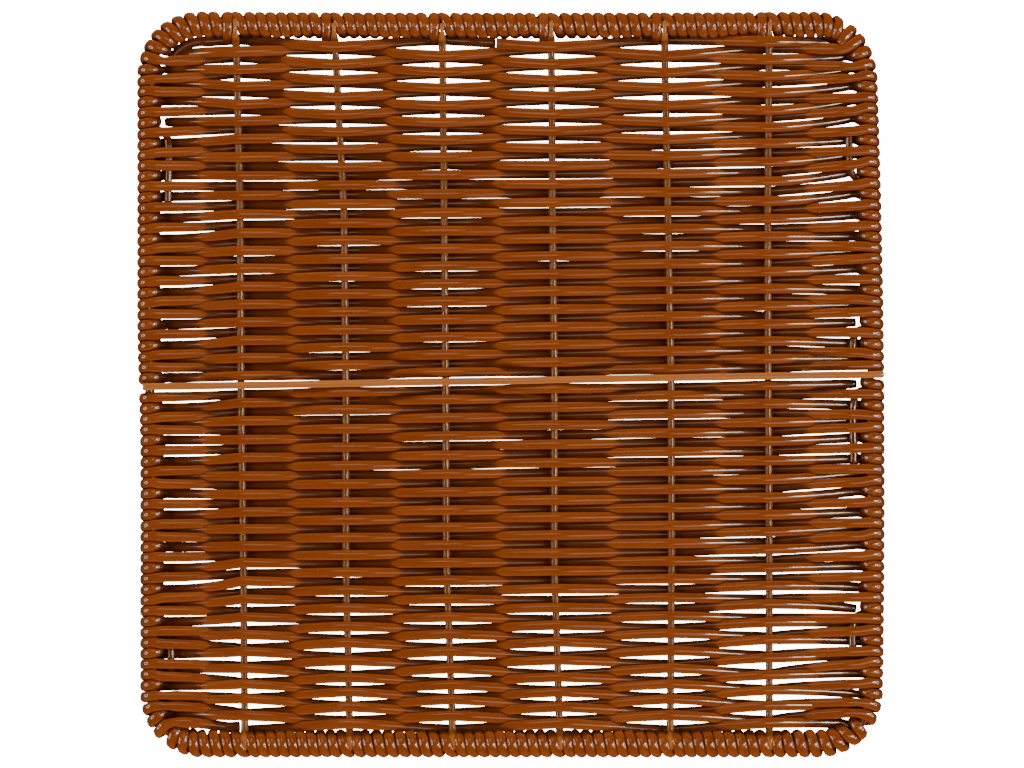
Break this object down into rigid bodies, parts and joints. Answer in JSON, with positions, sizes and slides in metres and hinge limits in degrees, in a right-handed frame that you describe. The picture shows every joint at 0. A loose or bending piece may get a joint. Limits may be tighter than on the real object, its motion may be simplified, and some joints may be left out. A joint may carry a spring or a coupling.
{
  "type": "woven rattan panel",
  "caption": "Flat square panel of woven poly rattan: round strand on wire stakes in a round-cornered wire frame, with close-wound edges and a brace rod.",
  "frame": {"origin": "centre of the outline, on the plane that the panel lies on", "axes": "+X to the right across the panel, +Y up the panel towards its top bar, +Z out of its face"},
  "size_m": [0.3002, 0.3002, 0.0099],
  "materials": {
    "painted_wire": "gloss, light orange brown",
    "rattan_strand": "semi-gloss, mid brown, finely streaked"
  },
  "bodies": {
    "root": {"frame_wire": "painted_wire", "stake_1": "painted_wire", "stake_2": "painted_wire", "stake_3": "painted_wire", "stake_4": "painted_wire", "stake_5": "painted_wire", "stake_6": "painted_wire", "brace_rod": "painted_wire", "weaver_1": "rattan_strand", "weaver_2": "rattan_strand", "weaver_3": "rattan_strand", "weaver_4": "rattan_strand", "weaver_5": "rattan_strand", "weaver_6": "rattan_strand", "weaver_7": "rattan_strand", "weaver_8": "rattan_strand", "top_binding_1": "rattan_strand", "top_binding_2": "rattan_strand", "top_binding_3": "rattan_strand", "top_binding_4": "rattan_strand", "bottom_binding_1": "rattan_strand", "bottom_binding_2": "rattan_strand", "bottom_binding_3": "rattan_strand", "bottom_binding_4": "rattan_strand"}
  },
  "joints": []
}
